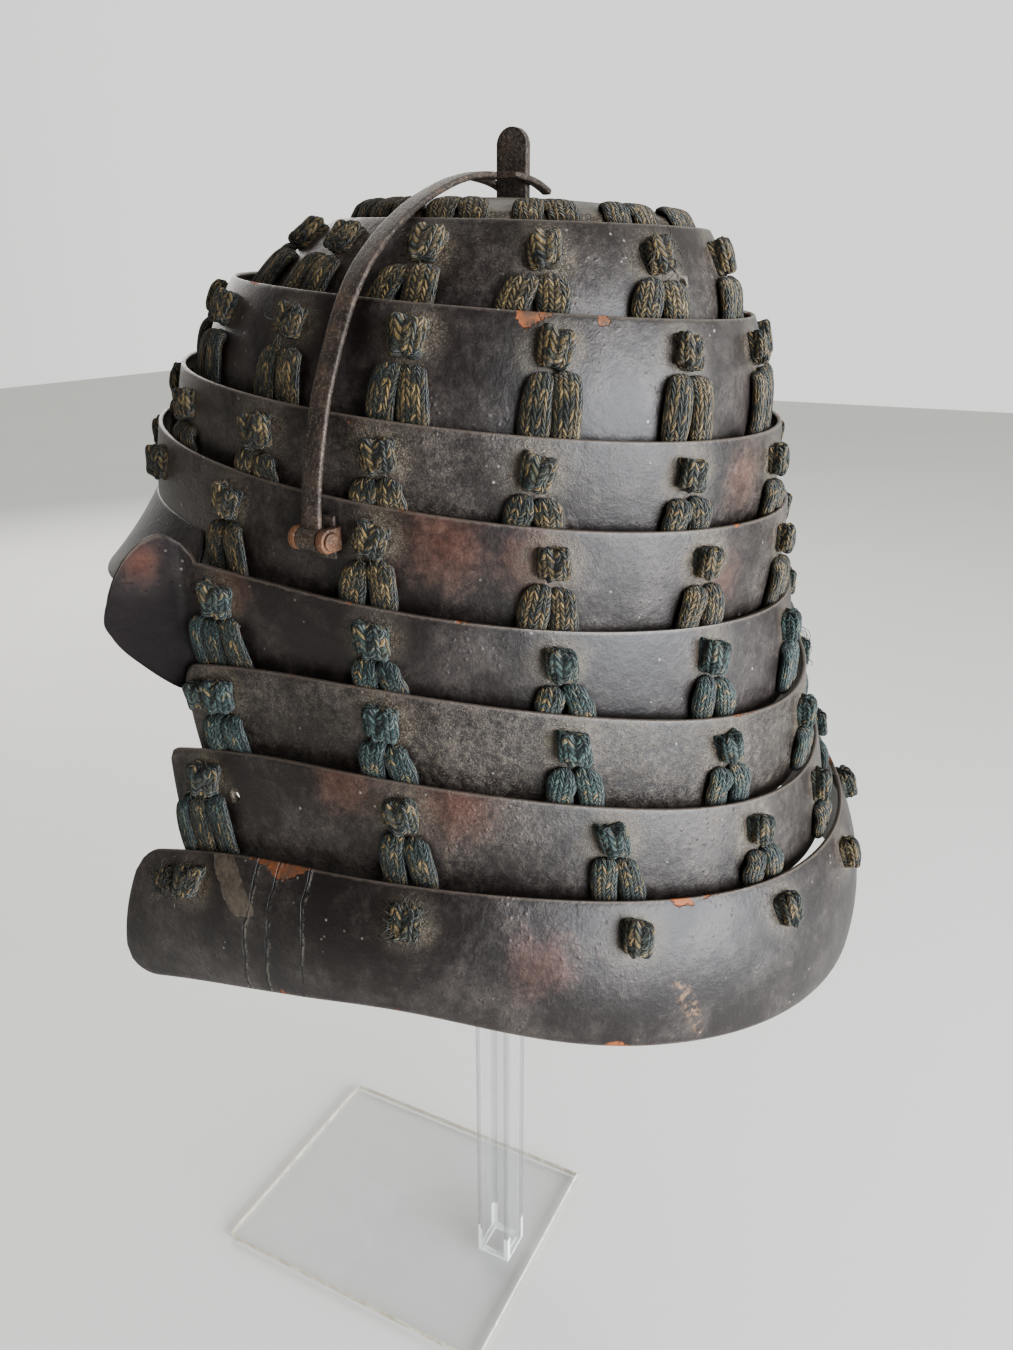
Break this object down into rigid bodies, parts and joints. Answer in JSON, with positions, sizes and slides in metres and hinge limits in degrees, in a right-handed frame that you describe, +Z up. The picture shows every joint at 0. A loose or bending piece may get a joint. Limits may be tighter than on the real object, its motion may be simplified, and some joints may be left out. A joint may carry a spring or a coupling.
{
  "type": "kabuto samurai helmet on display stand",
  "caption": "Folding lantern-style kabuto of laced lacquered iron lames with visor, turned-out flaps, neck guard and hinged strut, on a clear stand.",
  "frame": {"origin": "middle of the underside of the stand's base plate", "axes": "+Z up, -Y the way the helmet faces, +X the wearer's left"},
  "size_m": [0.2744, 0.3113, 0.5267],
  "materials": {
    "lacquered_iron": "worn dark lacquer over iron, satin",
    "crown_iron": "dusty worn lacquer",
    "braid": "flat silk braid, faded",
    "forged_iron": "dark forged iron with light rust",
    "clear_acrylic": "clear acrylic sheet, polished"
  },
  "bodies": {
    "root": {"crown_plate": "crown_iron", "lame_1": "lacquered_iron", "lame_2": "lacquered_iron", "lame_3": "lacquered_iron", "lame_4": "lacquered_iron", "lame_5": "lacquered_iron", "lame_6": "lacquered_iron", "lame_7": "lacquered_iron", "lame_8": "lacquered_iron", "lacing_1": "braid", "lacing_2": "braid", "lacing_3": "braid", "lacing_4": "braid", "lacing_5": "braid", "lacing_6": "braid", "lacing_7": "braid", "lacing_8": "braid", "lacing_9": "braid", "lacing_10": "braid", "lacing_11": "braid", "lacing_12": "braid", "lacing_13": "braid", "lacing_14": "braid", "crown_tab": "forged_iron", "strut_hinge": "forged_iron", "stand_base": "clear_acrylic", "stand_post": "clear_acrylic", "stand_rest": "clear_acrylic"},
    "strut": {"strut": "forged_iron"}
  },
  "joints": [
    {"name": "strut_hinge_turn", "type": "hinge", "parent": "root", "child": "strut", "pos_m": [0.11137, 0.05326, 0.408], "axis": [0.0872, 0.9962, 0], "range_deg": [0, 180]}
  ]
}
